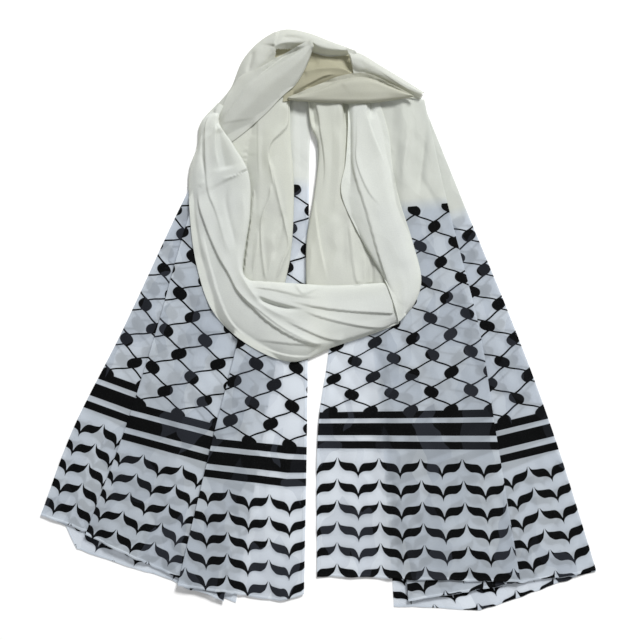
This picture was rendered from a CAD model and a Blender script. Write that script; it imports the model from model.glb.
# A long chiffon head scarf with printed ends, wound into a neck loop and laid flat.
import math

import bpy
import numpy as np
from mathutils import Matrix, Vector


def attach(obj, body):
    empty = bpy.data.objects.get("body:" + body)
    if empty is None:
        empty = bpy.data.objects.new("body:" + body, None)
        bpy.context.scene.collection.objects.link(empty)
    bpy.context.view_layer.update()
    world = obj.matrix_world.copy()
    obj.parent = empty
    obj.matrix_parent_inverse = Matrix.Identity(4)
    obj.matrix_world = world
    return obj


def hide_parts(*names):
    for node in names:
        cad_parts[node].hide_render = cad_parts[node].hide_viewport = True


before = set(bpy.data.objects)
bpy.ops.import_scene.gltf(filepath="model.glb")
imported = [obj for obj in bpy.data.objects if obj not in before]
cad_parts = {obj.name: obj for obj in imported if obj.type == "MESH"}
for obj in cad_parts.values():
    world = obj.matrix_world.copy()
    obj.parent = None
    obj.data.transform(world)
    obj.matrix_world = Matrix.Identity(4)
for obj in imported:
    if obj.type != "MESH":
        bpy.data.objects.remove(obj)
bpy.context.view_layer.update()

mm = 0.001

# Plan places in the tables are mm from the back left corner of a 640 mm square laid round the scarf,
# x to the right and y toward the hems. planMiddle is the scarf's middle in that square.
planMiddle = np.array([318.5, 320.0])
plyPitch = 1.6      # mm from one ply of a pleated end to the next
plyMiddle = 0.6     # mm from the surface to the middle of the lowest ply
clearance = 0.45    # mm kept between a stretch and what it lies on
hemDepth = 2.5      # mm, the rolled hem


# Curves and grids

def smoothLine(places, steps):
    # centripetal spline through the places, with the same pace between each two of them
    p = np.array(places, float)
    p = np.vstack([2 * p[0] - p[1], p, 2 * p[-1] - p[-2]])
    spans = len(p) - 3
    t = np.linspace(0, spans, steps)
    k = np.minimum(t.astype(int), spans - 1)
    w = (t - k)[:, None]
    p0, p1, p2, p3 = p[k], p[k + 1], p[k + 2], p[k + 3]
    d0, d1, d2 = (np.sqrt(np.linalg.norm(b - a, axis=1))[:, None] for a, b in ((p0, p1), (p1, p2), (p2, p3)))
    m1 = ((p1 - p0) / d0 - (p2 - p0) / (d0 + d1) + (p2 - p1) / d1) * d1
    m2 = ((p2 - p1) / d1 - (p3 - p1) / (d1 + d2) + (p3 - p2) / d2) * d1
    return p1 + m1 * w + (3 * (p2 - p1) - 2 * m1 - m2) * w ** 2 + (2 * (p1 - p2) + m1 + m2) * w ** 3


def splineAcross(controls, perSpan):
    # uniform cubic B-spline over the columns of rows x columns x values, with its ends held
    c = np.concatenate([2 * controls[:, :1] - controls[:, 1:2], controls,
                        2 * controls[:, -1:] - controls[:, -2:-1]], axis=1)
    spans = controls.shape[1] - 1
    out = []
    for k in range(spans):
        for step in range(perSpan + (k == spans - 1)):
            w = step / perSpan
            weights = ((1 - w) ** 3, 3 * w ** 3 - 6 * w ** 2 + 4,
                       -3 * w ** 3 + 3 * w ** 2 + 3 * w + 1, w ** 3)
            out.append(sum(weights[n] / 6 * c[:, k + n] for n in range(4)))
    return np.stack(out, axis=1)


def softened(values, reach, axis):
    # running average with a triangular window, the ends held
    window = np.concatenate([np.arange(1, reach + 2), np.arange(reach, 0, -1)]).astype(float)
    window /= window.sum()
    pad = [(0, 0)] * values.ndim
    pad[axis] = (reach, reach)
    wide = np.pad(values, pad, mode="edge")
    count = values.shape[axis]
    return sum(window[n] * np.take(wide, range(n, n + count), axis=axis) for n in range(2 * reach + 1))


# Soft random relief: values between -1 and 1 over a plan, from seeded tables that repeat
reliefSide = 97
reliefSeed = np.random.default_rng(11)
reliefTables = [reliefSeed.uniform(-1, 1, (reliefSide, reliefSide)) for _ in range(6)]


def relief(a, b, table):
    grid = reliefTables[table]
    i, j = np.floor(a).astype(int), np.floor(b).astype(int)
    fa, fb = a - i, b - j
    fa, fb = fa * fa * (3 - 2 * fa), fb * fb * (3 - 2 * fb)

    def corner(m, n):
        return grid[(i + m) % reliefSide, (j + n) % reliefSide]

    return ((corner(0, 0) * (1 - fa) + corner(1, 0) * fa) * (1 - fb)
            + (corner(0, 1) * (1 - fa) + corner(1, 1) * fa) * fb)


# What already lies on the surface, in cells of 1 mm
pileSide = 700
pileTop = np.zeros((pileSide, pileSide))


def pileCells(xy):
    # which cells the points are over
    return np.clip(np.round(xy[..., 0] + pileSide / 2).astype(int), 0, pileSide - 1), \
        np.clip(np.round(xy[..., 1] + pileSide / 2).astype(int), 0, pileSide - 1)


def spread(field, reach):
    # the highest within reach of each cell
    out = field.copy()
    for i in range(-reach, reach + 1):
        for j in range(-reach, reach + 1):
            if i * i + j * j <= reach * reach + 1:
                out = np.maximum(out, np.roll(field, (i, j), (0, 1)))
    return out


def addToPile(points, reach):
    global pileTop
    fresh = np.zeros_like(pileTop)
    i, j = pileCells(points)
    np.maximum.at(fresh, (i.ravel(), j.ravel()), points[..., 2].ravel())
    pileTop = np.maximum(pileTop, spread(fresh, reach))


def restUnder(xy, soft):
    # height of what lies under each point, with its steps softened
    field = softened(softened(spread(pileTop, 2), soft, 0), soft, 1)
    field = np.maximum(field, pileTop)
    i, j = pileCells(xy)
    return field[i, j]


# Meshes

def inside(x, y, places):
    # which plan places are within a closed outline
    found = np.zeros(x.shape, bool)
    for (x0, y0), (x1, y1) in zip(places, places[1:] + places[:1]):
        found ^= ((y0 > y) != (y1 > y)) & (x < x0 + (y - y0) / (y1 - y0 + 1e-9) * (x1 - x0))
    return found


def makeMesh(name, points, faceUv, material, hole=()):
    # points: rows x columns x 3 in mm. faceUv: (rows-1) x (columns-1) x 4 corners x 2 in mm of cloth
    rows, columns = points.shape[:2]
    index = np.arange(rows * columns).reshape(rows, columns)
    faces = np.stack([index[:-1, :-1], index[1:, :-1], index[1:, 1:], index[:-1, 1:]], axis=-1).reshape(-1, 4)
    if hole:
        middle = cornersOf(points).mean(axis=2).reshape(-1, 3)
        kept = ~inside(middle[:, 0] + planMiddle[0], planMiddle[1] - middle[:, 1], hole)
        faces, faceUv = faces[kept], faceUv.reshape(-1, 4, 2)[kept]
    mesh = bpy.data.meshes.new(name)
    mesh.from_pydata((points.reshape(-1, 3) * mm).tolist(), [], faces.tolist())
    layer = mesh.uv_layers.new(name="cloth")
    layer.data.foreach_set("uv", (faceUv.reshape(-1, 2) * mm).ravel().astype(np.float32))
    mesh.polygons.foreach_set("use_smooth", [True] * len(mesh.polygons))
    mesh.materials.append(material)
    mesh.update()
    piece = bpy.data.objects.new(name, mesh)
    bpy.context.scene.collection.objects.link(piece)
    return piece


def cornersOf(grid):
    # the four corners of each face
    return np.stack([grid[:-1, :-1], grid[1:, :-1], grid[1:, 1:], grid[:-1, 1:]], axis=2)


# Materials

def linear(code):
    # sRGB hex to linear RGBA
    parts = [int(code[n:n + 2], 16) / 255 for n in (0, 2, 4)]
    return (*[c / 12.92 if c <= 0.04045 else ((c + 0.055) / 1.055) ** 2.4 for c in parts], 1.0)


def addNode(tree, kind, settings=(), **links):
    # links: input name (spaces as _) or inputN -> socket to link or value to set
    node = tree.nodes.new("ShaderNode" + kind)
    for key, value in dict(settings).items():
        setattr(node, key, value)
    for key, value in links.items():
        socket = node.inputs[int(key[5:])] if key.startswith("input") else node.inputs[key.replace("_", " ")]
        if isinstance(value, bpy.types.NodeSocket):
            tree.links.new(value, socket)
        else:
            socket.default_value = value
    return node


def newMaterial(name):
    material = bpy.data.materials.new(name)
    material.use_nodes = True
    tree = material.node_tree
    tree.nodes.clear()
    return material, tree


def mathOf(tree):
    # do adds one math node to the tree and gives its result
    def do(operation, a, b=0.0, c=0.0, clamp=False):
        return addNode(tree, "Math", {"operation": operation, "use_clamp": clamp},
                       input0=a, input1=b, input2=c).outputs[0]
    return do


# the yarn's matt finish, and through, the share of the light that it scatters to the other side
yarnFinish = {"Roughness": 0.78, "Sheen Weight": 0.05, "Sheen Roughness": 0.5, "Specular IOR Level": 0.12}
through = 0.3


def clothShader(tree, colour, opacity, glow, bump):
    # a woven film: matt fibres that scatter some light through, with open gaps between the yarns
    body = addNode(tree, "BsdfPrincipled", Base_Color=colour, Normal=bump)
    for socket, value in yarnFinish.items():
        body.inputs[socket].default_value = value
    glowing = addNode(tree, "BsdfTranslucent", Color=glow, Normal=bump)
    gaps = addNode(tree, "BsdfTransparent", Color=(1, 1, 1, 1))
    film = addNode(tree, "MixShader", Fac=through, input1=body.outputs[0], input2=glowing.outputs[0])
    mixed = addNode(tree, "MixShader", Fac=opacity, input1=gaps.outputs[0], input2=film.outputs[0])
    addNode(tree, "OutputMaterial", Surface=mixed.outputs[0])


def clothUv(tree):
    # place on the flat cloth in m
    return addNode(tree, "UVMap", {"uv_map": "cloth"}).outputs[0]


# flat facets that folding and packing leave in the cloth, about 22 mm by 50 mm. across: how many to a metre.
# along: the share of that down the cloth. wander, wanders: how far their edges stray, in m, and how many
# times to a metre
facet = {"across": 46.0, "along": 0.42, "wander": 0.03, "wanders": 30.0}


def foldFacets(tree, uv):
    drift = addNode(tree, "TexNoise", Vector=uv, Scale=facet["wanders"], Detail=1.0)
    bent = addNode(tree, "VectorMath", {"operation": "MULTIPLY_ADD"}, input0=drift.outputs[1],
                   input1=(facet["wander"], facet["wander"], 0.0), input2=uv)
    turned = addNode(tree, "Mapping", Vector=bent.outputs[0], Scale=(1.0, facet["along"], 1.0))
    cells = addNode(tree, "TexVoronoi", {"feature": "F1"}, Vector=turned.outputs[0], Scale=facet["across"])
    # height of each facet, and a chance value that is the same all over one
    return cells.outputs[0], addNode(tree, "SeparateColor", Color=cells.outputs[1]).outputs[0]


# crossed yarns and a slack crepe grain. yarn: spacing in mm, drawn coarser than the real 0.25 so it shows.
# yarnShare: the yarns' height beside the grain's. grain: its scale. deep, facetDeep: m by which the weave and
# the facets stand up at full strength
weave = {"yarn": 0.9, "yarnShare": 0.16, "grain": 420.0, "deep": 0.0006, "facetDeep": 0.004}


def weaveBump(tree, uv, strength, facets, crinkle):
    # strength: of the weave. crinkle: of the facets
    do = mathOf(tree)
    split = addNode(tree, "SeparateXYZ", Vector=uv)
    turns = 2 * math.pi / (weave["yarn"] * mm)
    warp = do("SINE", do("MULTIPLY", split.outputs[0], turns))
    weft = do("SINE", do("MULTIPLY", split.outputs[1], turns))
    grain = addNode(tree, "TexNoise", Vector=uv, Scale=weave["grain"], Detail=3.0, Roughness=0.6)
    height = do("MULTIPLY_ADD", do("ADD", warp, weft), weave["yarnShare"], grain.outputs[0])
    flat = addNode(tree, "Bump", Strength=crinkle, Distance=weave["facetDeep"], Height=facets)
    bump = addNode(tree, "Bump", Strength=strength, Distance=weave["deep"], Height=height,
                   Normal=flat.outputs[0])
    return bump.outputs[0]


# plain cloth of the loop, of the gathers inside it, of the neck, of the band across the front of the neck,
# and its wrong side at the back of the neck
plainLooks = {
    "loop": {"lit": "E7EBE8", "shade": "DCE0DC", "glow": "E6E5CE", "opacity": 0.96},
    "drop": {"lit": "E3E6DF", "shade": "D5D8CF", "glow": "DEDEC8", "opacity": 0.95},
    "neck": {"lit": "D3D6D1", "shade": "C9CCC6", "glow": "D8D7C2", "opacity": 0.97},
    "arch": {"lit": "C6C7BC", "shade": "BCBDB0", "glow": "C6C4A8", "opacity": 0.97},
    "back": {"lit": "BAB8A2", "shade": "ADAA94", "glow": "A8A482", "opacity": 0.98},
}


def plainChiffon(name, look):
    # polyester chiffon, woven, cream white: matt, soft, a little see-through, olive in its deep folds
    material, tree = newMaterial(name)
    do = mathOf(tree)
    uv = clothUv(tree)
    facets, chance = foldFacets(tree, uv)
    # tone: partly in clouds some 45 mm across, partly by the facet
    cloud = addNode(tree, "TexNoise", Vector=uv, Scale=22.0, Detail=3.0, Roughness=0.55)
    patchy = do("MULTIPLY_ADD", chance, 0.35, do("MULTIPLY", cloud.outputs[0], 0.65))
    tone = addNode(tree, "Mix", {"data_type": "RGBA"}, Factor=patchy,
                   input6=linear(look["lit"]), input7=linear(look["shade"]))
    bump = weaveBump(tree, uv, 0.18, facets, 0.06)
    # slack and tight spots of the weave let a little more or less light through
    grain = addNode(tree, "TexNoise", Vector=uv, Scale=900.0, Detail=2.0)
    opacity = addNode(tree, "MapRange", Value=grain.outputs[0], From_Min=0.3, From_Max=0.7,
                      To_Min=look["opacity"] - 0.03, To_Max=look["opacity"] + 0.03)
    clothShader(tree, tone.outputs[2], opacity.outputs[0], linear(look["glow"]), bump)
    return material


printedLook = {"ground": "D9E1E8", "groundShade": "BFC8D2", "ink": "010203", "inkLit": "2A2D34",
               "glow": "E4E8F0", "plain": "DADDD4", "opacity": 0.72, "plainOpacity": 0.92,
               "inkOpacity": 0.995, "hemOpacity": 0.96}

# The traditional three-part print, in mm of cloth, v up from the cut end.
# leafUpper, leafLower: the two edges of a leaf, mm down from its row against mm from its peak, up to leafSize
leafSize = 25.0
leafRows = {"spacing": 20.8, "period": 40.0, "top": 117.0}
leafUpper = [(0, 0), (0.7, 0.4), (1.7, 2), (3.2, 3.8), (5.1, 4.3), (8.9, 4.9), (12.8, 5.2), (14.7, 5.6),
             (16.6, 7), (18.5, 10), (19.5, 13), (20, 14.5), (25, 25)]
leafLower = [(0, 0), (0.4, 0.4), (1.2, 4), (2.2, 7), (3.2, 9), (5.1, 11), (7, 12.5), (8.4, 13), (12.8, 13.3),
             (15.6, 14), (17.6, 15.2), (19, 17), (19.7, 19), (20, 20.5), (25, 25)]
stripes = [(126.0, 133.6), (139.4, 152.5), (157.6, 165.3)]
# net: mm from one oval to the next, the oval's half sizes and tilt, and its lines, which waver by wave mm
net = {"start": 165.3, "across": 40.0, "along": 39.0, "oval": (7.7, 5.5), "tilt": math.radians(28),
       "lineRise": 0.475, "lineStart": 5.0, "line": 1.87, "wave": 0.35, "waveLength": 20}


def curveOf(tree, points, size, value):
    # a smooth curve through hand-placed points, as a node
    node = addNode(tree, "FloatCurve", Value=value)
    curve = node.mapping.curves[0]
    for n, (x, y) in enumerate(points):
        if n < 2:
            curve.points[n].location = (x / size, y / size)
        else:
            curve.points.new(x / size, y / size)
    for point in curve.points:
        point.handle_type = "AUTO_CLAMPED"
    node.mapping.extend = "HORIZONTAL"
    node.mapping.update()
    return node.outputs[0]


def printMask(tree, u, v, netEnd, netPhase, leafPhase):
    do = mathOf(tree)
    edge = 0.3  # mm over which the ink's edge softens

    def above(value, limit):
        # 1 where value is over limit, with a soft edge
        return do("MULTIPLY_ADD", do("SUBTRACT", value, limit), 1 / edge, 0.5, clamp=True)

    def both(a, b):
        return do("MULTIPLY", a, b)

    def either(a, b):
        return do("MAXIMUM", a, b)

    def folded(value, period):
        # distance from the nearest multiple of the period
        half = period / 2
        return do("ABSOLUTE", do("SUBTRACT", do("FLOORED_MODULO", do("ADD", value, half), period), half))

    def signed(value, period):
        half = period / 2
        return do("SUBTRACT", do("FLOORED_MODULO", do("ADD", value, half), period), half)

    # leaves: pairs that meet in a point toward the hem, in rows
    fromPeak = folded(do("SUBTRACT", u, leafPhase), leafRows["period"])
    x = do("DIVIDE", fromPeak, leafSize, clamp=True)
    upper = do("MULTIPLY", curveOf(tree, leafUpper, leafSize, x), leafSize)
    lower = do("MULTIPLY", curveOf(tree, leafLower, leafSize, x), leafSize)
    down = do("SUBTRACT", leafRows["top"], v)
    inRow = do("FLOORED_MODULO", down, leafRows["spacing"])
    leaves = None
    for extra in (0.0, leafRows["spacing"]):
        y = do("ADD", inRow, extra)
        leaf = both(above(y, upper), above(lower, y))
        leaves = leaf if leaves is None else either(leaves, leaf)
    leaves = both(leaves, above(down, 0.0))

    mask = leaves
    for low, high in stripes:
        mask = either(mask, both(above(v, low), above(high, v)))

    # net: ovals on a diamond lattice, joined by lines
    x = do("SUBTRACT", u, netPhase)
    y = do("SUBTRACT", v, net["start"])
    wave = do("MULTIPLY", do("SINE", do("MULTIPLY", x, 2 * math.pi / net["waveLength"])), net["wave"])
    nearX = folded(x, net["across"])
    nearY = folded(do("ADD", y, wave), net["along"])
    line = do("SUBTRACT", nearY, do("MULTIPLY_ADD", nearX, net["lineRise"], net["lineStart"]))
    lines = above(net["line"] / 2, do("ABSOLUTE", line))
    ovals = None
    for shift, tilt in ((0.0, net["tilt"]), (0.5, -net["tilt"])):
        dx = signed(do("ADD", x, shift * net["across"]), net["across"])
        dy = signed(do("ADD", y, shift * net["along"]), net["along"])
        a = do("ADD", do("MULTIPLY", dx, math.cos(tilt)), do("MULTIPLY", dy, math.sin(tilt)))
        b = do("SUBTRACT", do("MULTIPLY", dy, math.cos(tilt)), do("MULTIPLY", dx, math.sin(tilt)))
        # a squarish oval: powers above 2
        far = do("ADD", do("POWER", do("ABSOLUTE", do("DIVIDE", a, net["oval"][0])), 2.5),
                 do("POWER", do("ABSOLUTE", do("DIVIDE", b, net["oval"][1])), 2.5))
        oval = do("MULTIPLY_ADD", do("SUBTRACT", 1.0, far), 8.0, 0.5, clamp=True)
        ovals = oval if ovals is None else either(ovals, oval)
    pattern = both(both(either(lines, ovals), above(v, net["start"] - 2)), above(netEnd, v))
    return either(mask, pattern)


def printedChiffon(name, netEnd, netPhase, leafPhase):
    # polyester chiffon, woven, with a black pigment print: cool white, see-through, so the plies below ghost.
    # netEnd: where the print stops. netPhase, leafPhase: where its repeats start across the cloth
    look = printedLook
    material, tree = newMaterial(name)
    do = mathOf(tree)
    uv = clothUv(tree)
    split = addNode(tree, "SeparateXYZ", Vector=uv)
    u, v = (do("MULTIPLY", split.outputs[n], 1 / mm) for n in (0, 1))
    ink = printMask(tree, u, v, netEnd, netPhase, leafPhase)
    # the printed part is whiter than the plain middle, and turns into it over 14 mm
    toPlain = do("MULTIPLY_ADD", do("SUBTRACT", v, netEnd), 1 / 14, 0.4, clamp=True)
    facets, chance = foldFacets(tree, uv)
    patchy = addNode(tree, "Mix", {"data_type": "RGBA"}, Factor=chance,
                     input6=linear(look["ground"]), input7=linear(look["groundShade"]))
    ground = addNode(tree, "Mix", {"data_type": "RGBA"}, Factor=toPlain,
                     input6=patchy.outputs[2], input7=linear(look["plain"]))
    grain = addNode(tree, "TexNoise", Vector=uv, Scale=700.0, Detail=2.0)
    worn = do("MULTIPLY", ink, do("MULTIPLY_ADD", grain.outputs[0], 0.03, 0.985, clamp=True))
    # the facets with a chance above 0.7 catch the light on the ink
    caught = do("MULTIPLY_ADD", chance, 8.0, -5.6, clamp=True)
    inked = addNode(tree, "Mix", {"data_type": "RGBA"}, Factor=caught,
                    input6=linear(look["ink"]), input7=linear(look["inkLit"]))
    colour = addNode(tree, "Mix", {"data_type": "RGBA"}, Factor=worn,
                     input6=ground.outputs[2], input7=inked.outputs[2])
    glow = addNode(tree, "Mix", {"data_type": "RGBA"}, Factor=worn,
                   input6=linear(look["glow"]), input7=linear(look["ink"]))
    film = do("MULTIPLY_ADD", ink, look["inkOpacity"] - look["opacity"], look["opacity"])
    film = do("MULTIPLY_ADD", toPlain, look["plainOpacity"] - look["opacity"], film)
    film = do("MULTIPLY_ADD", do("SUBTRACT", grain.outputs[0], 0.5), 0.06, film)
    # the rolled hem is three plies thick
    rolled = addNode(tree, "SeparateXYZ", Vector=addNode(tree, "UVMap", {"uv_map": "hem"}).outputs[0])
    inHem = do("LESS_THAN", do("MINIMUM", rolled.outputs[0], rolled.outputs[1]), hemDepth * mm)
    film = do("MAXIMUM", film, do("MULTIPLY", inHem, look["hemOpacity"]), clamp=True)
    bump = weaveBump(tree, uv, 0.16, facets, 0.45)
    clothShader(tree, colour.outputs[2], film, glow.outputs[2], bump)
    return material


plain = {kind: plainChiffon("plain woven polyester chiffon, " + kind, look)
         for kind, look in plainLooks.items()}
lookOf = {"drop_left": "drop", "drop_right": "drop", "loop_front": "loop", "loop_right": "loop",
          "neck_back": "back", "neck_arch": "arch", "neck_ribbon": "neck", "neck_shoulder": "neck",
          "neck_roll": "neck"}
print("materials made")


# The two printed ends

# Each end is one ply folded to and fro.
# lines: plan places of its folds and edges at five stations, from the neck to the hem.
# path: line, mm beside it, plies below, share of the soft waves, and the cloth place of a fold or free edge.
# bends: lines where the hem bends between two folds.
# cloth: mm of cloth across (u) and up from the cut end (v) of each cloth place, at the same stations.
# ridge: mm by which a line stands up near the neck.
# creases: plan places along each, the height of its crest (below 0: a valley) and its width to each side.
leftEnd = {
    "lines": {
        "innerEdge": [(311, 101), (309, 200), (308, 330), (307, 430), (304, 594)],
        "frontLow": [(303, 101), (302, 200), (297, 330), (290, 430), (280, 601)],
        "underEdge": [(293, 101), (291, 200), (281, 330), (264, 430), (236, 602)],
        "frontTuck": [(284, 101), (281, 200), (268, 330), (252, 430), (224, 600)],
        "frontFold": [(268, 101), (258, 200), (240, 330), (215, 430), (178, 584)],
        "middleTuck": [(256, 100), (222, 200), (200, 330), (175, 430), (139, 550)],
        "middleFold": [(243, 98), (195, 200), (157, 330), (125, 430), (86, 534)],
        "underLow": [(241, 97), (192, 200), (140, 330), (98, 430), (66, 526)],
        "underStep": [(245, 97), (198, 200), (150, 330), (112, 430), (77, 549)],
        "outerFold": [(238, 95), (184, 200), (123, 330), (73, 430), (41, 515)],
    },
    "path": [
        ("innerEdge", 0, 0, 1.0, "free edge"),
        ("frontLow", 0, 0, 1.0, None),
        ("underEdge", 11, 0, 1.0, None),
        ("underEdge", 3, 1, 1.0, None),
        ("frontTuck", 10, 1, 1.0, None),
        ("frontTuck", 2.5, 3, 1.0, None),
        ("frontFold", 0, 3, 1.0, "front fold"),
        ("frontFold", 0, 2, 0.7, "front fold"),
        ("frontTuck", 0, 2, 0.7, "front return"),
        ("frontTuck", 0, 1, 0.45, "middle start"),
        ("middleTuck", 11, 1, 0.8, None),
        ("middleTuck", 2.5, 3, 1.0, None),
        ("middleFold", 0, 3, 1.0, "middle fold"),
        ("middleFold", 0, 2, 0.7, "middle fold"),
        ("middleTuck", 0, 2, 0.7, "middle return"),
        ("middleTuck", 0, 1, 0.45, "outer start"),
        ("outerFold", 0, 1, 0.8, "outer fold"),
        ("outerFold", 0, 0, 0.2, "outer fold"),
        ("underLow", 0, 0, 0.2, None),
        ("underStep", 0, 0, 0.2, None),
        ("underEdge", 0, 0, 0.2, "under edge"),
    ],
    "bends": ["frontLow", "underLow", "underStep"],
    "cloth": {
        "free edge": {"u": [28, 20.5, 8.8, 0, 0], "v": [510, 411, 281.8, 182.2, 17]},
        "front fold": {"u": [71, 71.2, 76.5, 91.6, 122], "v": [505.8, 406.3, 275, 173.2, 14.9]},
        "front return": {"u": [87, 94.2, 104.5, 128.6, 168], "v": [512, 415, 286, 187, 20]},
        "middle start": {"u": [225, 194, 161.4, 141.9, 110], "v": [495, 398.6, 269.7, 168.9, 0]},
        "middle fold": {"u": [265, 275.2, 266, 261.6, 263.4], "v": [487, 376.3, 240.9, 136, 17]},
        "middle return": {"u": [278, 302, 309, 311.6, 318], "v": [492, 387, 258, 155, 20]},
        "outer start": {"u": [420, 397.8, 352.7, 324, 319], "v": [485, 367.6, 237.9, 135.4, 10.3]},
        "outer fold": {"u": [436, 433.5, 425, 423, 427], "v": [471.7, 354.6, 211.6, 100.5, 9.7]},
        "under edge": {"u": [484, 527, 564, 591, 640], "v": [498, 405, 286, 190, 14]},
    },
    "ridge": {},
    "creases": [
        {"at": [(268, 360), (266, 420), (268, 480), (262, 560)], "high": 1.1, "wide": 3.2},
        {"at": [(290, 366), (286, 450), (286, 540), (290, 596)], "high": 0.9, "wide": 5},
        {"at": [(226, 392), (222, 470), (204, 540), (198, 588)], "high": 0.8, "wide": 6},
        {"at": [(246, 350), (250, 400), (240, 452)], "high": 0.7, "wide": 5},
        {"at": [(172, 300), (158, 352), (150, 420)], "high": 0.9, "wide": 5},
        {"at": [(206, 330), (196, 380), (180, 430), (170, 500)], "high": 0.8, "wide": 6},
        {"at": [(150, 450), (140, 500), (128, 556)], "high": 0.9, "wide": 5},
        {"at": [(118, 500), (110, 530), (108, 556)], "high": 1.1, "wide": 4},
        {"at": [(166, 470), (164, 520), (150, 570)], "high": 0.8, "wide": 4},
        {"at": [(150, 300), (152, 322), (140, 340)], "high": 1.6, "wide": 4},
        {"at": [(120, 352), (106, 400), (92, 450)], "high": 0.8, "wide": 5},
        {"at": [(96, 430), (82, 470), (66, 512)], "high": 1.0, "wide": 5},
        {"at": [(166, 240), (160, 276), (140, 318)], "high": 0.9, "wide": 5},
    ],
}
rightEnd = {
    "lines": {
        "innerEdge": [(317, 101), (318, 200), (330, 330), (318, 430), (317, 576)],
        "underEdge": [(368, 102), (370, 200), (372, 330), (382, 430), (394, 606)],
        "tuck": [(380, 102), (383, 200), (386, 330), (395, 430), (408, 601)],
        "ridgeFoot": [(393, 101), (394, 200), (420, 330), (430, 430), (440, 582)],
        "ridge": [(402, 101), (403, 200), (432, 330), (442, 430), (452, 582)],
        "ridgeSide": [(412, 101), (418, 200), (444, 330), (455, 430), (465, 582)],
        "frontFold": [(424, 100), (446, 200), (479, 330), (495, 430), (520, 581)],
        "turnedLow": [(400, 101), (418, 200), (440, 330), (456, 430), (480, 610)],
        "outerFold": [(421, 98), (462, 200), (515, 330), (552, 430), (596, 570)],
    },
    "path": [
        ("innerEdge", 0, 0, 1.0, "free edge"),
        ("underEdge", -11, 0, 1.0, None),
        ("underEdge", -3, 1, 1.0, None),
        ("tuck", -10, 1, 1.0, None),
        ("tuck", -2.5, 3, 1.0, None),
        ("ridgeFoot", 0, 3, 1.0, None),
        ("ridge", 0, 3, 1.0, None),
        ("ridgeSide", 0, 3, 1.0, None),
        ("frontFold", 0, 3, 1.0, "front fold"),
        ("frontFold", 0, 2, 0.7, "front fold"),
        ("tuck", 0, 2, 0.7, "front return"),
        ("tuck", 0, 1, 0.45, "side start"),
        ("outerFold", 0, 1, 0.8, "outer fold"),
        ("outerFold", 0, 0, 0.2, "outer fold"),
        ("turnedLow", 0, 0, 0.2, "turned low"),
        ("underEdge", 0, 0, 0.2, "under edge"),
    ],
    "bends": [],
    "cloth": {
        "free edge": {"u": [0, 0, 3, 0, 2], "v": [505, 401, 263, 144.7, 0]},
        "front fold": {"u": [150, 151, 162, 174.5, 185.5], "v": [493, 388, 243.8, 144.5, 0]},
        "front return": {"u": [184, 210, 249.5, 268.6, 297.6], "v": [505, 409, 275, 178, 12]},
        "side start": {"u": [416, 382.5, 331, 302, 278], "v": [520, 417, 282, 182, 14]},
        "outer fold": {"u": [459, 459.3, 456.4, 454.7, 457.9], "v": [512, 398.8, 251.9, 145.4, 4]},
        "turned low": {"u": [480, 500, 525, 545, 580], "v": [523, 418, 281, 183, 6]},
        "under edge": {"u": [510, 543, 586, 609, 656.6], "v": [535, 437, 311, 216, 12]},
    },
    "ridge": {"ridge": 3.2},
    "creases": [
        {"at": [(427, 118), (423, 156), (418, 198)], "high": -2.8, "wide": 3.2},
        {"at": [(416, 105), (409, 130), (404, 160), (401.5, 190)], "high": 2.8, "wide": 2.6},
        {"at": [(404, 112), (398, 140), (394, 180)], "high": -1.8, "wide": 5},
        {"at": [(390, 104), (402, 112), (416, 104)], "high": -1.5, "wide": 4},
        {"at": [(368, 333), (361, 352), (355.5, 368)], "high": 1.6, "wide": 3},
        {"at": [(350, 352), (340, 392), (336, 440)], "high": 0.9, "wide": 5},
        {"at": [(392, 346), (384, 392), (380, 450), (374, 540)], "high": 0.8, "wide": 6},
        {"at": [(424, 300), (430, 350), (452, 420), (458, 480)], "high": 0.8, "wide": 5},
        {"at": [(455, 250), (470, 310), (478, 370)], "high": 0.7, "wide": 5},
        {"at": [(346, 470), (352, 520), (346, 574)], "high": 0.8, "wide": 6},
        {"at": [(412, 470), (408, 520), (414, 576)], "high": 0.9, "wide": 5},
        {"at": [(440, 480), (446, 530), (440, 578)], "high": 0.7, "wide": 6},
        {"at": [(486, 470), (494, 520), (500, 578)], "high": 0.8, "wide": 5},
        {"at": [(478, 300), (498, 350), (512, 400)], "high": 1.0, "wide": 4},
        {"at": [(520, 420), (532, 480), (552, 560)], "high": 0.9, "wide": 5},
        {"at": [(500, 440), (516, 500), (528, 586)], "high": 0.9, "wide": 4},
        {"at": [(556, 470), (568, 520), (576, 566)], "high": 0.8, "wide": 4},
    ],
}
endRows = 214          # rows of mesh down each end, more of them at the hem
hemRows = 6
controlSpacing = 7.0   # mm between control columns of a flat panel
waveHeight = 1.5       # mm, the soft waves of the top ply
ridgeFade = 1.6        # a ridge is gone after 1 / ridgeFade of the end's length
hemRoll = 0.55         # mm by which the rolled hem stands up
hemWaver = 1.2         # mm by which it strays


def clothWaves(x, y):
    # soft upright waves of a loosely laid panel, with finer ones across them
    broad = relief(x / 30 + 5, y / 130, 0) + 0.7 * relief((x + 0.35 * y) / 22, (y - 0.3 * x) / 80, 1)
    fine = 0.4 * relief((x - 0.2 * y) / 10, y / 45, 2) + 0.15 * relief(x / 5, (y + 0.4 * x) / 16, 3)
    # flat facets that meet in creases
    facets = np.abs(relief((x + 0.5 * y) / 24, (y - 0.4 * x) / 52, 4)) \
        + 0.8 * np.abs(relief((x - 0.6 * y) / 19, (y + 0.3 * x) / 40, 5))
    return np.clip(0.35 + 0.5 * (broad + fine) + 0.8 * facets, 0, 2)


sides = {"north": (0, -1), "south": (0, 1), "east": (1, 0), "west": (-1, 0)}


def eased(value):
    value = np.clip(value, 0, 1)
    return value * value * (3 - 2 * value)


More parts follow.
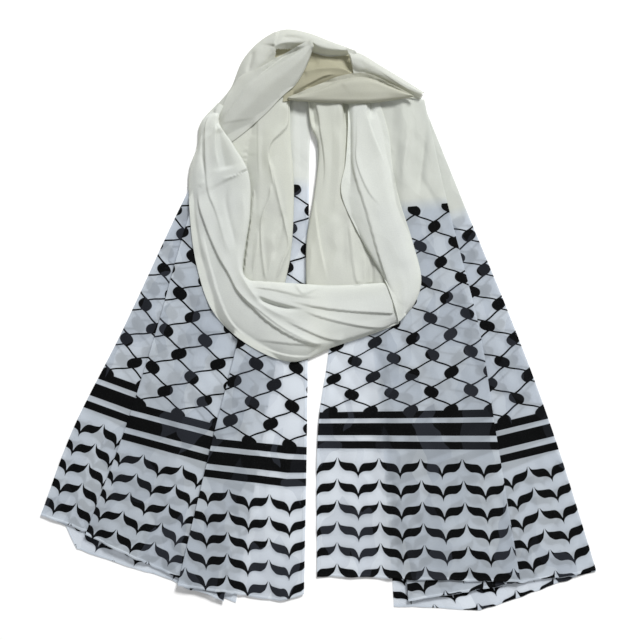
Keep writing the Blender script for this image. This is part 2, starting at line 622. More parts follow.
def fromLine(line, x, y):
    # distance from a line, the same with a side's sign, share along the line, and mm past its ends
    near = np.hypot(x[:, None] - line[:, 0], y[:, None] - line[:, 1]).argmin(axis=1)
    best = None
    for start in (np.maximum(near - 1, 0), np.minimum(near, len(line) - 2)):
        step = line[start + 1] - line[start]
        size = np.maximum(np.hypot(step[:, 0], step[:, 1]), 1e-6)
        dx, dy = x - line[start, 0], y - line[start, 1]
        w = (dx * step[:, 0] + dy * step[:, 1]) / size ** 2
        held = np.clip(w, 0, 1)
        away = np.hypot(dx - held * step[:, 0], dy - held * step[:, 1])
        turned = np.sign(dy * step[:, 0] - dx * step[:, 1])
        found = np.stack([away, away * turned, (start + held) / (len(line) - 1), np.abs(w - held) * size])
        best = found if best is None else np.where(found[0] < best[0], found, best)
    return best


def creaseHeight(creases, x, y):
    # mm added along each hand-placed line: a crest, a valley below 0, or with drops a crisp fold edge.
    # ends: the shares of the line over which it fades in and out
    height = np.zeros_like(x)
    for crease in creases:
        line = smoothLine(crease["at"], 80)
        ahead = np.diff(line, axis=0)
        wide = crease["wide"]
        reach = 2.6 * wide + 4
        box = (x > line[:, 0].min() - reach) & (x < line[:, 0].max() + reach) \
            & (y > line[:, 1].min() - reach) & (y < line[:, 1].max() + reach)
        away, side, part, past = fromLine(line, x[box], y[box])
        first, last = crease.get("ends", (0.3, 0.3))
        fade = eased(part / first) * eased((1 - part) / last) * np.exp(-(past / 2.5) ** 2)
        if "drops" in crease:
            low = sides[crease["drops"]]
            if (low[1] * ahead[:, 0] - low[0] * ahead[:, 1]).sum() < 0:
                side = -side
            profile = np.where(side > 0, eased(1 - side / 1.1), np.exp(-(np.maximum(-side, 0) / wide) ** 1.3))
        else:
            profile = np.exp(-(away / wide) ** 1.5)
        height[box] += crease["high"] * fade * profile
    return height


def layEnd(name, end, material):
    # one ply folded to and fro along its path, with rows down the end and columns across it
    body = endRows - hemRows
    t = np.concatenate([np.linspace(0, 0.992, body, endpoint=False), np.linspace(0.992, 1, hemRows)])
    pick = t * 999
    low = np.minimum(pick.astype(int), 998)
    part = (pick - low)[:, None]

    def atRows(places):
        line = smoothLine(places, 1000)
        return line[low] * (1 - part) + line[low + 1] * part

    lines = {key: atRows(places) for key, places in end["lines"].items()}
    narrowing = 0.6 + 0.4 * np.minimum(1, 2 * t)
    knots = []
    for line, beside, ply, share, cloth in end["path"]:
        place = lines[line] + np.outer(beside * narrowing, [1, 0])
        z = np.full(endRows, plyMiddle + ply * plyPitch)
        z += end["ridge"].get(line, 0) * np.clip(1 - t * ridgeFade, 0, 1)
        turn = cloth is not None or (line in end["bends"] and beside == 0)
        knots.append({"place": place, "z": z, "share": share, "cloth": cloth, "turn": turn})
    turns = [k for k, knot in enumerate(knots) if knot["turn"]]
    for k, knot in enumerate(knots):
        if not knot["turn"]:
            a = knots[max(n for n in turns if n < k)]["place"]
            b = knots[min(n for n in turns if n > k)]["place"]
            w = (knot["place"][:, 0] - a[:, 0]) / (b[:, 0] - a[:, 0])
            knot["place"][:, 1] = a[:, 1] + w * (b[:, 1] - a[:, 1])
    # cloth places of the knots between two named ones, by the plan distance
    named = [k for k, knot in enumerate(knots) if knot["cloth"]]
    for a, b in zip(named[:-1], named[1:]):
        steps = [np.linalg.norm(knots[k + 1]["place"] - knots[k]["place"], axis=1) for k in range(a, b)]
        reach = np.cumsum([np.zeros(endRows)] + steps, axis=0)
        ends = [atRows([(u, v) for u, v in zip(end["cloth"][knots[k]["cloth"]]["u"],
                                               end["cloth"][knots[k]["cloth"]]["v"])]) for k in (a, b)]
        for k in range(a, b + 1):
            w = (reach[k - a] / np.maximum(reach[-1], 1e-6))[:, None]
            knots[k]["uv"] = ends[0] * (1 - w) + ends[1] * w
    controls = []

    def put(a, b, w):
        controls.append(np.column_stack([a[key] * (1 - w) + b[key] * w for key in ("place", "z")]
                                        + [np.full(endRows, a["share"] * (1 - w) + b["share"] * w)]
                                        + [a["uv"] * (1 - w) + b["uv"] * w]))

    for k, knot in enumerate(knots):
        put(knot, knot, 0)
        if k + 1 == len(knots):
            break
        after = knots[k + 1]
        gap = np.linalg.norm(after["place"] - knot["place"], axis=1).max()
        if gap < 0.5:
            continue
        parts = max(2, int(np.ceil(gap / controlSpacing)))
        steps = list(np.linspace(0, 1, parts + 1)[1:-1])
        # a control close to each turn keeps the fold's edge crisp
        if knot["turn"]:
            steps = [0.12 / parts] + steps
        if after["turn"]:
            steps = steps + [1 - 0.12 / parts]
        for w in steps:
            put(knot, after, w)
    grid = splineAcross(np.stack(controls, axis=1), 3)
    x, y = grid[..., 0], grid[..., 1]
    rise = grid[..., 3] * np.clip((t - 0.02) / 0.1, 0, 1)[:, None]
    z = grid[..., 2] + waveHeight * clothWaves(x, y) * rise + creaseHeight(end["creases"], x, y) * rise ** 2
    # the hem is rolled, and wavers a little
    down = np.linalg.norm(np.diff(grid[..., :2], axis=0), axis=-1)
    fromHem = np.concatenate([np.cumsum(down[::-1], axis=0)[::-1], np.zeros((1, x.shape[1]))], axis=0)
    z += hemRoll * np.exp(-((fromHem - hemDepth * 0.5) / (hemDepth * 0.45)) ** 2) * grid[..., 3]
    y = y + hemWaver * relief(x / 9, grid[..., 2], 5) * np.exp(-fromHem / 5)
    points = np.dstack([x - planMiddle[0], planMiddle[1] - y, np.maximum(z, 0.15)])
    piece = makeMesh(name, points, cornersOf(grid[..., 4:6]), material)
    # a second map: distance from the free edge and from the hem
    hem = piece.data.uv_layers.new(name="hem")
    over = np.linalg.norm(np.diff(grid[..., :2], axis=1), axis=-1)
    fromEdge = np.concatenate([np.zeros((endRows, 1)), np.cumsum(over, axis=1)], axis=1)
    hem.data.foreach_set("uv", (cornersOf(np.stack([fromEdge, fromHem], axis=-1)).reshape(-1, 2) * mm)
                         .ravel().astype(np.float32))
    d1, d2 = points[1:, :-1] - points[:-1, :-1], points[:-1, 1:] - points[:-1, :-1]
    print("%s: %d x %d, area %.0f cm2" % (name, endRows, x.shape[1],
                                          np.linalg.norm(np.cross(d1, d2), axis=-1).sum() / 100))
    addToPile(points, 3)
    return piece


endLeft = layEnd("printed_end_left", leftEnd,
                 printedChiffon("printed woven chiffon, left end", 425.0, 16.6, 35.0))
endRight = layEnd("printed_end_right", rightEnd,
                  printedChiffon("printed woven chiffon, right end", 384.0, 10.7, 20.0))
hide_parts("end_left")
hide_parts("end_right")
print("printed ends laid")


# The plain stretches of the neck loop, heaped on each other in the order they are laid

# lines: form lines across a stretch, from one side to the other. top: mm above the surface there, one
# value or one at each place, and 0 hugs what is below. turned: this outer edge is rolled under.
# at: plan places along the stretch.
# creases: as for the ends; drops names the side of the plan a crisp fold edge steps down to.
# rise: the share of the stretch over which it comes up from what is below at its start.
# waves: mm by which slack lifts it, in waves of wide by long mm.
# hole: a gap between turns of the cloth, as plan places round it.
stretches = {
    "drop_left": {
        "lines": [
            {"top": 0, "at": [(231, 92), (231, 140), (240, 175), (242, 212), (238, 255), (242, 290)]},
            {"top": 8.6, "at": [(258, 92), (258, 140), (259, 175), (259, 212), (256, 255), (252, 290)]},
            {"top": 9.0, "at": [(267, 92), (265, 140), (267, 175), (264, 212), (262, 255), (264, 290)]},
            {"top": 9.2, "at": [(282, 92), (275, 140), (276, 175), (282, 212), (285, 255), (271, 290)]},
            {"top": 7.0, "turned": True,
             "at": [(290, 92), (291, 140), (294, 175), (294, 212), (291, 255), (284, 290)]},
        ],
        "creases": [
            {"at": [(288, 101), (287.5, 126), (281, 134), (272, 143), (268.5, 154), (271, 170), (276, 196)],
             "high": 2.2, "wide": 6, "drops": "east", "ends": (0.05, 0.2)},
            {"at": [(269.5, 158), (274, 178), (280, 203), (286, 228), (289, 246), (283, 262), (276, 281)],
             "high": 1.5, "wide": 1.5, "ends": (0.12, 0.1)},
            {"at": [(271.5, 184), (270, 198), (264, 213), (261.5, 224), (262, 246), (266, 281)],
             "high": 1.5, "wide": 1.4, "ends": (0.12, 0.05)},
            {"at": [(283, 208), (280.5, 226), (277, 245), (273, 262)], "high": -2.4, "wide": 3.2},
            {"at": [(275, 232), (273, 252), (267, 281)], "high": 1.2, "wide": 4, "drops": "east"},
            {"at": [(258.5, 110), (258.5, 150), (259.5, 184)], "high": 0.6, "wide": 4, "drops": "west"},
            {"at": [(259, 228), (257, 252), (251, 280)], "high": 1.3, "wide": 5, "drops": "east"},
            {"at": [(252, 184), (253, 215), (252, 250), (247, 280)], "high": 0.9, "wide": 3.5},
            {"at": [(266, 128), (262, 150), (262, 180)], "high": -0.8, "wide": 4},
            {"at": [(243, 134), (241, 146), (240.5, 157)], "high": 2.4, "wide": 8, "drops": "west",
             "ends": (0.1, 0.2)},
            {"at": [(240, 136), (237, 146), (239, 156)], "high": -3.5, "wide": 3.5, "ends": (0.1, 0.2)},
        ],
        "waves": 0.5, "wide": 12, "long": 70,
    },
    "drop_right": {
        "lines": [
            {"top": [8, 8, 7, 6.5, 6.5, 6.5], "turned": True,
             "at": [(307, 92), (310.5, 126), (318, 145), (314, 195), (306.5, 240), (306, 290)]},
            {"top": 8.4, "at": [(318, 92), (321, 126), (326.5, 145), (324, 195), (315, 240), (314, 290)]},
            {"top": 9.2, "at": [(331, 92), (332, 126), (334, 145), (333, 195), (326, 240), (328, 290)]},
            {"top": 9.0, "at": [(341, 92), (341, 126), (341.5, 145), (345, 195), (350, 240), (357, 290)]},
            {"top": 4, "at": [(348, 92), (348, 126), (351, 145), (362, 195), (371, 240), (371, 290)]},
            {"top": 0, "at": [(352, 92), (353, 126), (356, 145), (368, 195), (380, 240), (391, 290)]},
        ],
        "creases": [
            {"at": [(314, 98), (318.5, 116), (320.5, 132), (323.5, 150), (325, 172), (323, 192)], "high": 1.5,
             "wide": 6, "drops": "west", "ends": (0.02, 0.4)},
            {"at": [(311, 98), (313.5, 116), (316, 132)], "high": -3, "wide": 3, "ends": (0.02, 0.3)},
            {"at": [(342.5, 94), (342.5, 112), (344.5, 128)], "high": 1.8, "wide": 7, "drops": "east",
             "ends": (0.02, 0.5)},
            {"at": [(340, 120), (339.5, 160), (337.5, 190), (333, 214)], "high": 0.8, "wide": 3,
             "ends": (0.3, 0.2)},
            {"at": [(345.5, 96), (345.5, 112), (346.5, 128)], "high": -5, "wide": 2.8, "ends": (0.02, 0.6)},
            {"at": [(314, 196), (317, 228), (321, 252), (328, 284)], "high": 1.5, "wide": 5, "drops": "east"},
            {"at": [(336, 214), (334, 232), (337, 256)], "high": 1.0, "wide": 6},
            {"at": [(349, 220), (350.5, 240), (352.5, 262), (357, 284)], "high": 1.6, "wide": 2.6,
             "drops": "west", "ends": (0.25, 0.02)},
            {"at": [(345, 210), (343, 236), (345, 280)], "high": -0.8, "wide": 4},
            {"at": [(330, 112), (332, 140), (331, 175), (326, 205)], "high": -0.7, "wide": 4},
            {"at": [(364, 252), (364.5, 282)], "high": 0.9, "wide": 2.4, "drops": "east"},
            {"at": [(371, 250), (371.5, 268), (371.5, 284)], "high": 1.6, "wide": 4, "drops": "east",
             "ends": (0.2, 0.02)},
            {"at": [(374, 256), (377, 270), (379, 284)], "high": -2.4, "wide": 4, "ends": (0.2, 0.02)},
            {"at": [(311, 240), (311, 262), (309, 284)], "high": 0.8, "wide": 3},
        ],
        "waves": 0.5, "wide": 12, "long": 70,
    },
    "neck_back": {
        "lines": [
            {"top": 0, "at": [(268, 44), (318, 47), (331, 50), (345, 52), (362, 57)]},
            {"top": 2.0, "at": [(270, 56), (312, 61), (328, 60), (343, 62), (363, 66)]},
            {"top": 6.8, "at": [(276, 74), (308, 73), (325, 68), (342, 70), (364, 74)]},
            {"top": 8, "at": [(284, 97), (304, 87), (322, 79), (341, 77), (365, 80)]},
            {"top": 0, "at": [(283, 103), (306, 99), (326, 94), (343, 90), (366, 88)]},
        ],
        "creases": [
            {"at": [(303, 73), (312, 70.5), (326, 69.5), (342, 70), (352, 75)], "high": 2.2, "wide": 4,
             "drops": "north", "ends": (0.1, 0.15)},
            {"at": [(296, 92), (311, 84), (324, 77.5), (336, 75)], "high": 1.6, "wide": 3.5,
             "drops": "south"},
            {"at": [(305, 60), (311, 62), (320, 64)], "high": -1.5, "wide": 4},
        ],
        "waves": 0.3, "wide": 12, "long": 40,
    },
    "neck_shoulder": {
        "lines": [
            {"top": [1, 4, 4, 4, 4, 4, 4, 4, 4], "turned": True,
             "at": [(201, 126), (216.5, 106), (231, 88), (243, 60), (262, 40), (284, 30), (307, 33),
                    (331, 42), (349, 48.5)]},
            {"top": [3.5, 8, 9.5, 9.8, 9.8, 9.8, 9.8, 9.8, 9.8],
             "at": [(206, 128), (222, 108), (237, 91), (249, 67), (266, 46), (284, 36.5),
                    (307, 38), (329, 45), (350, 51)]},
            {"top": [5, 8.5, 10.5, 11.5, 11.8, 11.8, 11.8, 11.5, 11],
             "at": [(213, 130), (229, 111), (244, 95), (256, 76), (268, 58), (285, 45.5),
                    (306, 45), (327, 50.5), (351, 53)]},
            {"top": 0, "at": [(221, 132), (236, 114), (252, 99), (263, 84), (274, 70), (289, 56),
                              (308, 52), (327, 57), (352, 55)]},
        ],
        "creases": [
            {"at": [(254, 50), (251.5, 62), (247.5, 76)], "high": -1.8, "wide": 2.4, "ends": (0.3, 0.3)},
            {"at": [(278, 32), (276, 40), (274.5, 48)], "high": 2.0, "wide": 7, "drops": "east",
             "ends": (0.1, 0.1)},
            {"at": [(275, 49.5), (279, 46.5), (288, 44.8), (303, 45)], "high": 1.4, "wide": 2.2,
             "drops": "south", "ends": (0.1, 0.3)},
            {"at": [(275, 53.5), (284, 53.5), (291, 52)], "high": -2.5, "wide": 5, "ends": (0.05, 0.3)},
            {"at": [(275.5, 55), (271, 58.5), (266, 64)], "high": -0.9, "wide": 1.5},
            {"at": [(273, 50), (269, 56), (264, 62)], "high": -0.7, "wide": 1.5},
            {"at": [(281, 39.5), (292, 39), (306, 41)], "high": -1.3, "wide": 2.6},
            {"at": [(312, 43), (318, 49), (328, 54.5), (336, 56), (343, 52)], "high": 1.2, "wide": 5,
             "drops": "south", "ends": (0.1, 0.1)},
            {"at": [(253, 75), (243, 78), (232, 82.5)], "high": 0.8, "wide": 6, "drops": "north",
             "ends": (0.3, 0.3)},
            {"at": [(231, 88), (226, 101), (220, 120)], "high": 0.9, "wide": 8, "drops": "west",
             "ends": (0.4, 0.3)},
            {"at": [(262, 44), (256, 58), (262, 70)], "high": 0.7, "wide": 6},
        ],
        "hole": [(276, 50.5), (292.5, 50), (290, 54), (283.5, 58.5), (275.5, 59)],
        "waves": 0.3, "wide": 16, "long": 80,
    },
    "neck_ribbon": {
        "lines": [
            {"top": 0, "at": [(311, 41), (294, 50), (275, 60), (259, 70), (241, 78), (231, 92), (224, 106),
                              (216, 122)]},
            {"top": [12, 13.5, 14, 14, 14, 13, 11.5, 8.5],
             "at": [(312, 43.5), (297, 55), (279, 66), (264, 76), (249, 87), (239, 100), (229, 112),
                    (218, 127)]},
            {"top": [13, 14.5, 15.5, 15.8, 15.6, 14.8, 13, 10],
             "at": [(313, 46), (301, 62), (286, 75), (271, 86), (258, 99), (246, 110), (235, 121),
                    (221.5, 135)]},
            {"top": [10, 10.5, 10.5, 10, 9, 7.6, 6.4, 6], "turned": True,
             "at": [(314, 48), (306, 69), (296, 86), (282, 99), (267, 114.5), (253, 127), (241, 137),
                    (227, 147)]},
        ],
        "creases": [
            {"at": [(222, 124.5), (240, 121.5), (258, 118)], "high": 0.5, "wide": 8, "drops": "south",
             "ends": (0.1, 0.5)},
            {"at": [(268, 68), (262, 84), (258, 104)], "high": 0.5, "wide": 9},
        ],
        "waves": 0.3, "wide": 18, "long": 80,
    },
    "loop_front": {
        "lines": [
            {"top": 4.5, "turned": True,
             "at": [(218.5, 104), (200.5, 124), (198, 146), (190, 168), (190, 212), (197, 266), (214, 313),
                    (247, 344), (293, 362), (334, 347), (375, 333), (398.5, 323.5)]},
            {"top": 9.4, "at": [(220, 105), (204.5, 123), (201.5, 146), (197, 169), (200, 212), (209, 264),
                                (226, 309), (253, 335), (295, 351), (334, 342), (375, 330), (399, 321)]},
            {"top": 11.2, "at": [(221, 105.5), (208.5, 121.5), (207, 146), (205, 170), (209, 212), (221, 262),
                                 (236, 295), (258, 318), (296, 338), (334, 336), (375, 326), (399.5, 318.5)]},
            {"top": 12.6, "at": [(222, 106), (212.5, 120.5), (213, 146), (216, 171), (221, 212), (230, 264),
                                 (241, 288), (260, 307), (295, 325), (334, 329), (375, 321.5), (400, 315)]},
            {"top": 13.2, "at": [(222.8, 106.5), (215.5, 120), (221, 146), (229, 172), (233, 212), (236, 267),
                                 (244, 285), (261, 299), (294, 311), (334, 317), (375, 313), (401, 308)]},
            {"top": 13.2, "at": [(223.4, 107), (217.5, 120.5), (227.5, 146), (239, 172.5), (242, 212),
                                 (240, 270), (247, 282.5), (262, 291), (293, 300), (334, 305), (375, 302),
                                 (401, 297)]},
            {"top": 11.6, "turned": True,
             "at": [(224, 107.5), (219.5, 122), (234, 146), (249, 173), (251, 212), (244, 273), (250, 280),
                    (264, 281), (292, 283), (334, 285), (375, 283), (401, 281)]},
        ],
        "creases": [
            {"at": [(213, 114), (207, 124), (206, 150), (207.5, 181), (210, 196), (215, 208), (222, 230),
                    (229, 262)], "high": 1.3, "wide": 4, "drops": "west", "ends": (0.15, 0.4)},
            {"at": [(217, 118), (216.5, 150), (220, 171)], "high": 1.6, "wide": 5, "drops": "east",
             "ends": (0.2, 0.4)},
            {"at": [(203.5, 124), (203, 150), (205.5, 178)], "high": -1.0, "wide": 1.6},
            {"at": [(202, 152), (204, 166), (207, 182)], "high": -0.7, "wide": 2},
            {"at": [(198.5, 190), (200, 206), (205, 222), (211, 238), (220, 258), (229, 273), (239, 292),
                    (254, 308), (268, 321), (286, 333), (306, 342), (330, 346)],
             "high": 2.2, "wide": 8, "drops": "west", "ends": (0.12, 0.12)},
            {"at": [(203, 232), (207, 252), (213, 275), (220, 298), (230, 320), (247, 338), (266, 349),
                    (290, 356), (314, 357)],
             "high": 1.4, "wide": 6, "drops": "east", "ends": (0.15, 0.1)},
            {"at": [(233, 283), (246, 299), (262, 312), (282, 327), (302, 338), (326, 348)],
             "high": 1.0, "wide": 3.5, "drops": "south", "ends": (0.25, 0.1)},
            {"at": [(237, 236), (239, 262), (244, 278), (252, 291.5), (262, 303), (275, 312), (292, 319),
                    (310, 327)], "high": 1.5, "wide": 3.2, "ends": (0.35, 0.35)},
            {"at": [(256, 297), (266, 302.3), (284, 307.5), (303, 310.5)], "high": -3.4, "wide": 2.2,
             "ends": (0.3, 0.4)},
            {"at": [(256, 294), (268, 299.5), (286, 305), (306, 309)], "high": 1.2, "wide": 5,
             "drops": "south", "ends": (0.3, 0.3)},
            {"at": [(302, 310), (318, 316), (345, 323), (369, 327), (392, 328)], "high": 1.5, "wide": 5,
             "drops": "south", "ends": (0.3, 0.05)},
            {"at": [(286, 300), (318, 307), (350, 311), (393, 313.5)], "high": 1.9, "wide": 9,
             "drops": "south", "ends": (0.4, 0.02)},
            {"at": [(295, 284), (303, 293.5), (320, 287)], "high": 1.0, "wide": 4, "drops": "south",
             "ends": (0.1, 0.3)},
            {"at": [(252, 287), (276, 290), (300, 295.5), (330, 298)], "high": 1.2, "wide": 5,
             "drops": "south", "ends": (0.2, 0.4)},
            {"at": [(283, 319), (304, 329), (326, 338), (345, 341)], "high": 1.6, "wide": 7,
             "drops": "south", "ends": (0.3, 0.1)},
            {"at": [(252, 339), (274, 341.5), (300, 344), (330, 343)], "high": 1.2, "wide": 6,
             "drops": "south", "ends": (0.4, 0.2)},
            {"at": [(306, 357), (315, 350), (320, 347)], "high": -0.8, "wide": 2},
            {"at": [(229, 184), (226.5, 200), (229, 216), (234, 236), (237, 252)], "high": -1.0, "wide": 2.6},
            {"at": [(219, 124), (232, 143), (241, 155.5), (249.5, 172)], "high": 4.2, "wide": 24,
             "drops": "east", "ends": (0.1, 0.05)},
            {"at": [(220, 128), (222, 148), (227, 172)], "high": -2.4, "wide": 8, "ends": (0.2, 0.1)},
            {"at": [(250.5, 171.5), (241, 175.5), (231, 178.5), (221, 179)], "high": 2.2, "wide": 11,
             "drops": "north", "ends": (0.02, 0.7)},
            {"at": [(196, 198), (198, 220), (203, 246), (209, 268)], "high": 0.8, "wide": 3},
            {"at": [(243, 190), (245, 220), (241, 250)], "high": 0.9, "wide": 4},
            {"at": [(219, 214), (224, 236), (233, 258)], "high": 0.8, "wide": 4},
            {"at": [(199, 188), (206, 181)], "high": 0.7, "wide": 2, "ends": (0.4, 0.4)},
        ],
        "rise": 0.08, "waves": 0.5, "wide": 14, "long": 110,
    },
    "loop_right": {
        "lines": [
            {"top": [5, 3, 0, 7.5, 10, 10.5, 10.5, 9], "turned": True,
             "at": [(347.5, 92), (347.5, 130), (345, 165), (340.5, 192), (361, 240), (383.5, 279), (393, 304),
                    (398, 322)]},
            {"top": [8, 10.5, 12, 12.6, 12.6, 12.6, 12.6, 12.6],
             "at": [(353, 92), (352.5, 135), (353, 165), (359, 200), (374, 242), (388, 279),
                    (396, 304), (398.4, 321.6)]},
            {"top": [8.5, 11.5, 13, 13.4, 13.4, 13.4, 13.4, 13.4],
             "at": [(360, 92), (359, 135), (360, 165), (373, 200), (388, 241), (399, 280),
                    (403, 303), (398.9, 321.2)]},
            {"top": [8, 11, 12, 12.6, 12.6, 12.6, 12.6, 12.6],
             "at": [(366, 92), (375, 135), (382, 165), (388, 200), (401, 241), (410, 281),
                    (409, 304), (399.4, 320.9)]},
            {"top": [5, 5, 6, 8, 9, 9, 9, 8.5], "turned": True,
             "at": [(376, 92), (389, 135), (392, 165), (399, 200), (412, 241), (421, 281), (414, 304),
                    (400, 320.5)]},
        ],
        "creases": [
            {"at": [(350, 148), (353, 168), (358, 187), (364, 205), (370, 226), (377, 251), (386, 279),
                    (396, 312)], "high": 1.8, "wide": 10, "drops": "west", "ends": (0.25, 0.05)},
            {"at": [(356.5, 104), (356.5, 140), (356, 160), (362, 180), (371, 197), (382, 208)],
             "high": 1.1, "wide": 5, "drops": "west", "ends": (0.4, 0.35)},
            {"at": [(366, 104), (367.5, 118), (372, 134), (380, 154), (386, 168)], "high": 1.3, "wide": 6,
             "drops": "east", "ends": (0.02, 0.4)},
            {"at": [(371, 102), (371, 112), (371, 122)], "high": -3.5, "wide": 3.4, "ends": (0.02, 0.6)},
            {"at": [(379, 105), (384, 122), (389, 145), (392.5, 176)], "high": 1.2, "wide": 1.6,
             "ends": (0.05, 0.3)},
            {"at": [(398, 268), (404, 292), (400, 314)], "high": 0.8, "wide": 7},
            {"at": [(384, 214), (396, 244), (404, 270)], "high": 0.5, "wide": 9},
        ],
        "rise": 0.04, "waves": 0.35, "wide": 18, "long": 100,
    },
    "neck_roll": {
        "lines": [
            {"top": 5, "turned": True, "at": [(346, 49.5), (362, 55), (382, 67), (405, 81), (424, 93)]},
            {"top": 12.5, "at": [(349, 57), (363, 62), (382, 73), (404, 85.5), (422, 94.5)]},
            {"top": 12, "at": [(351.5, 66), (362, 70), (380, 77), (402, 89), (420.5, 97)]},
            {"top": 0, "at": [(355, 82), (363, 84), (379, 88), (400, 96), (419, 101)]},
        ],
        "creases": [
            {"at": [(347.5, 51), (349, 62), (354, 77)], "high": 1.9, "wide": 9, "drops": "west",
             "ends": (0.1, 0.1)},
            {"at": [(358, 58), (364, 70), (362, 78)], "high": -0.9, "wide": 5},
            {"at": [(378, 72), (396, 84), (414, 95)], "high": 0.7, "wide": 4, "drops": "south"},
        ],
        "waves": 0.3, "wide": 14, "long": 70,
    },
    "neck_arch": {
        "lines": [
            {"top": 0, "at": [(288, 98.5), (318, 86), (341, 77), (366, 75), (388, 84.5), (412, 97)]},
            {"top": 14.4, "at": [(288, 99.5), (319, 92), (343, 84), (367, 81.5), (390, 89.5), (412.5, 97.5)]},
            {"top": 15.4, "at": [(288.5, 100.3), (320, 98), (346, 95), (368, 94), (392, 95), (413, 98)]},
            {"top": 13.6, "turned": True,
             "at": [(289, 101.5), (321, 104.2), (349, 105.2), (371, 104.6), (396, 101.2), (414, 98.4)]},
        ],
        "creases": [
            {"at": [(340, 88), (347, 82.5), (355, 76.5)], "high": 0.8, "wide": 7, "drops": "west"},
            {"at": [(306, 97), (326, 89), (338, 81), (350, 76)], "high": 0.9, "wide": 4, "drops": "north"},
            {"at": [(366, 78), (386, 88), (408, 97)], "high": 0.8, "wide": 4},
            {"at": [(300, 101), (330, 101), (366, 101.5), (398, 98.5)], "high": 0.5, "wide": 2},
        ],
        "waves": 0.25, "wide": 16, "long": 60,
    },
}
rowLength = 1.3       # mm of cloth along a stretch for each row of mesh
stretchSpacing = 5.0  # mm between controls across a stretch
creaseDepth = 1.15    # times the creases' heights


def controlsAcross(lines, places):
    # one row of controls: plan x, y, height above the surface, layer above what lies below
    out = []
    for k, line in enumerate(lines):
        here, count = places[k], len(line["at"])
        stations = np.linspace(0, count - 1, len(here))
        top = np.interp(stations, range(count), np.broadcast_to(line["top"], count))
        inward = places[1 if k == 0 else k - 1] - here
        if line.get("turned"):
            # rolled under: the edge falls to the layer below and turns back under the cloth
            free = np.minimum(top / 3, 1)
            turn = [(here + inward * 0.6, top * 0.2, 0), (here + inward * 0.08, top * 0.3, 0),
                    (here, top * 0.6, free), (here + inward * 0.05, top, 1.4 * free)]
            out.append(turn if k == 0 else turn[::-1])
        else:
            out.append([(here, top, np.minimum(top / 2, 1))])
    return out


def layStretch(name, stretch, material):
    # a gathered stretch over its form lines, on top of all that lies below it
    lines = stretch["lines"]
    length = max(np.linalg.norm(np.diff(smoothLine(line["at"], 400), axis=0), axis=1).sum() for line in lines)
    rows = int(length / rowLength) + 1
    places = [smoothLine(line["at"], rows) for line in lines]
    groups = controlsAcross(lines, places)
    controls = []

    def put(place, height, layer):
        controls.append(np.column_stack([place, np.broadcast_to(height, rows), np.broadcast_to(layer, rows)]))

    for k, group in enumerate(groups):
        for place, height, layer in group:
            put(place, height, layer)
        if k + 1 == len(groups):
            break
        a, b = group[-1], groups[k + 1][0]
        parts = max(2, int(np.ceil(np.median(np.linalg.norm(b[0] - a[0], axis=1)) / stretchSpacing)))
        for w in np.arange(1, parts) / parts:
            put(a[0] * (1 - w) + b[0] * w, a[1] * (1 - w) + b[1] * w, a[2] * (1 - w) + b[2] * w)
    grid = splineAcross(np.stack(controls, axis=1), 6)
    x, y = grid[..., 0], grid[..., 1]
    xy = np.stack([x - planMiddle[0], planMiddle[1] - y], axis=-1)
    across = np.concatenate([np.zeros((rows, 1)),
                             np.cumsum(np.linalg.norm(np.diff(xy, axis=1), axis=-1), axis=1)], axis=1)
    along = np.concatenate([np.zeros((1, xy.shape[1])),
                            np.cumsum(np.linalg.norm(np.diff(xy, axis=0), axis=-1), axis=0)], axis=0)
    seed = sum(ord(letter) for letter in name)
    wide, long = across / stretch["wide"], along / stretch["long"]
    slanted = (across + 0.2 * along) / stretch["wide"]
    slack = relief(wide + seed, long, 3) + 0.4 * relief(slanted * 1.7, long * 1.5 + seed, 4)
    upper = np.clip(grid[..., 3], 0, 1)
    rise = eased(np.linspace(0, 1, rows) / stretch.get("rise", 1e-6))[:, None]
    folds = stretch["waves"] * slack + creaseDepth * creaseHeight(stretch["creases"], x, y)
    height = (grid[..., 2] + folds * upper) * rise
    height = np.maximum(height, restUnder(xy, 1) + clearance * (1 + grid[..., 3]))
    points = np.dstack([xy, height])
    piece = makeMesh(name, points, cornersOf(np.stack([across, along], axis=-1)), material,
                     stretch.get("hole", ()))
    addToPile(points, 2)
    d1, d2 = points[1:, :-1] - points[:-1, :-1], points[:-1, 1:] - points[:-1, :-1]
    print("%s: %d x %d, width %.0f, length %.0f, area %.0f, top %.1f" % (
        name, rows, points.shape[1], across[:, -1].mean(), along[-1].mean(),
        np.linalg.norm(np.cross(d1, d2), axis=-1).sum() / 100, points[..., 2].max()))
    return piece


pieces = {"printed_end_left": endLeft, "printed_end_right": endRight}
for name, stretch in stretches.items():
    piece = layStretch("cloth_" + name, stretch, plain[lookOf[name]])
    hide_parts(name)
    pieces["cloth_" + name] = piece
print("neck loop laid")

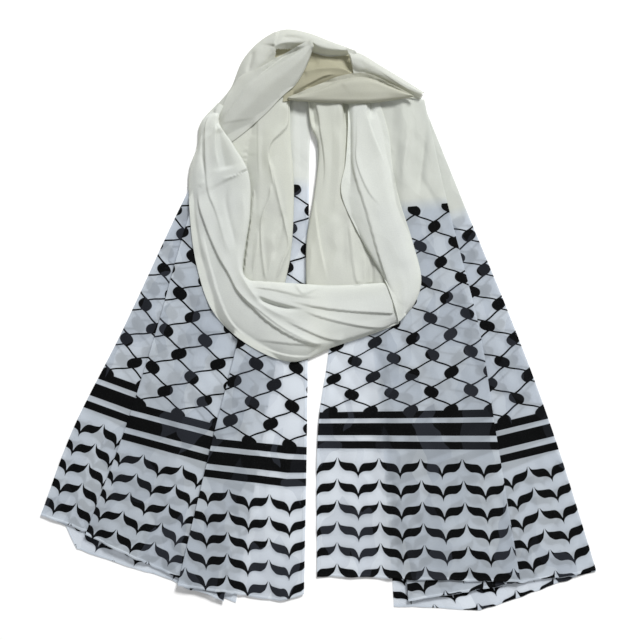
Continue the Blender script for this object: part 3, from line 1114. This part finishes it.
# Cut of what shows of each stretch, in m: width, length, flat area, how it is held and what it lies on
for name, piece in pieces.items():
    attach(piece, "root")


# Table top, light and camera

def addFloor():
    # plain pale board, matt
    bpy.ops.mesh.primitive_plane_add(size=6, location=(0, 0, 0))
    floor = bpy.context.object
    floor.name = "table_top"
    material, tree = newMaterial("matt white board")
    board = addNode(tree, "BsdfPrincipled", Base_Color=linear("FFFFFF"))
    board.inputs["Roughness"].default_value = 0.9
    board.inputs["Specular IOR Level"].default_value = 0.1
    addNode(tree, "OutputMaterial", Surface=board.outputs[0])
    floor.data.materials.append(material)


# soft studio light, its key from the back right: powers in W, places and sizes in m
light = {"sky": 0.33, "key": 264.0, "keyPlace": (1.5, 3.2, 3.2), "keySize": 1.3, "fill": 14.0,
         "fillPlace": (-1.6, -2.4, 4.0), "fillSize": 2.5}


def addLamp(name, place, size, power):
    data = bpy.data.lights.new(name, "AREA")
    data.shape, data.size, data.energy = "DISK", size, power
    lamp = bpy.data.objects.new(name, data)
    bpy.context.scene.collection.objects.link(lamp)
    lamp.location = place
    lamp.rotation_euler = (-Vector(place)).to_track_quat("-Z", "Y").to_euler()


def addLight():
    world = bpy.data.worlds.new("studio")
    world.use_nodes = True
    world.node_tree.nodes["Background"].inputs[0].default_value = (1, 1, 1, 1)
    world.node_tree.nodes["Background"].inputs[1].default_value = light["sky"]
    bpy.context.scene.world = world
    bpy.context.scene.view_settings.view_transform = "Standard"
    addLamp("key", light["keyPlace"], light["keySize"], light["key"])
    addLamp("fill", light["fillPlace"], light["fillSize"], light["fill"])


# lens in mm. across: m of table over the picture's width. right: m from the scarf's middle to the picture's
view = {"lens": 85, "across": 0.64, "right": 0.0015}


def addCamera():
    # straight down
    data = bpy.data.cameras.new("camera")
    data.lens = view["lens"]
    camera = bpy.data.objects.new("camera", data)
    bpy.context.scene.collection.objects.link(camera)
    camera.location = (view["right"], 0, view["across"] * view["lens"] / data.sensor_width)
    bpy.context.scene.camera = camera


addFloor()
addLight()
addCamera()
print("table top, light and camera made")
